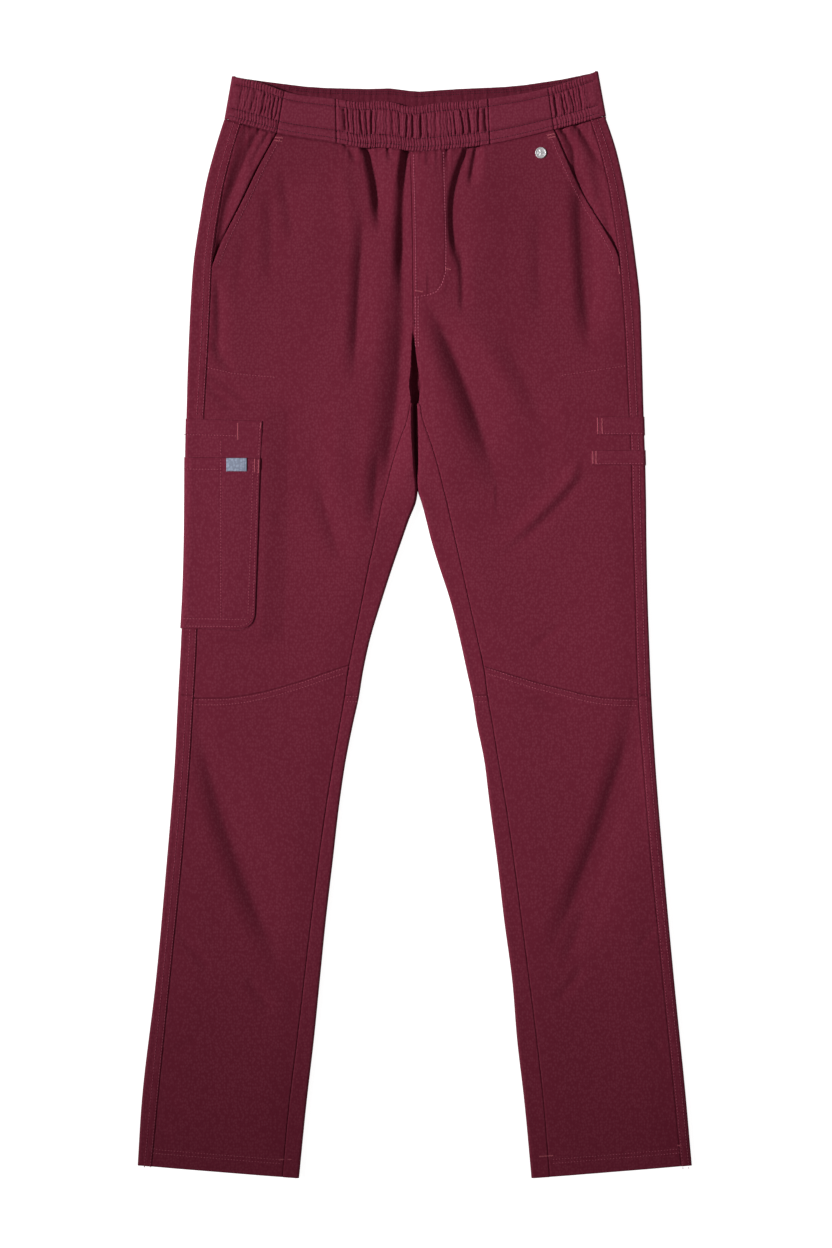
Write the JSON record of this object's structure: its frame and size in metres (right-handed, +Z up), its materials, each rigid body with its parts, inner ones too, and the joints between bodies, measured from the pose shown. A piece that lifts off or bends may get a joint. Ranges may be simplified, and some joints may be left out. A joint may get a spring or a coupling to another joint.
{
  "type": "medical scrub trousers",
  "caption": "Slim cargo scrub trousers laid flat, with an elastic waistband, slanted pockets, a wrapped cargo pocket and cloth loops.",
  "frame": {"origin": "middle of the garment's outline on the surface that it lies on", "axes": "+X across the garment towards the wearer's left leg, +Y up the garment to the waist, +Z up from the surface to the front panels"},
  "size_m": [0.5538, 1.1053, 0.0137],
  "materials": {
    "waistband_cloth": "matte burgundy twill, gathered over elastic",
    "front_cloth": "matte burgundy twill",
    "back_cloth": "matte burgundy twill",
    "pocket_cloth": "matte burgundy twill",
    "label_cloth": "bare blue-grey woven label",
    "snap_metal": "satin"
  },
  "bodies": {
    "root": {"waistband_back": "waistband_cloth", "waistband_elastic_front": "waistband_cloth", "waistband_plain_right": "waistband_cloth", "waistband_plain_left": "waistband_cloth", "front_upper_right": "front_cloth", "front_upper_left": "front_cloth", "front_lower_right": "front_cloth", "front_lower_left": "front_cloth", "back_upper_right": "back_cloth", "back_upper_left": "back_cloth", "back_lower_right": "back_cloth", "back_lower_left": "back_cloth", "pocket_side_right": "pocket_cloth", "pocket_side_left": "pocket_cloth", "cargo_pocket_inner": "pocket_cloth", "cargo_pocket_outer": "pocket_cloth", "utility_loop_upper": "pocket_cloth", "utility_loop_lower": "pocket_cloth", "label_tab": "label_cloth", "snap_cap": "snap_metal"}
  },
  "joints": []
}
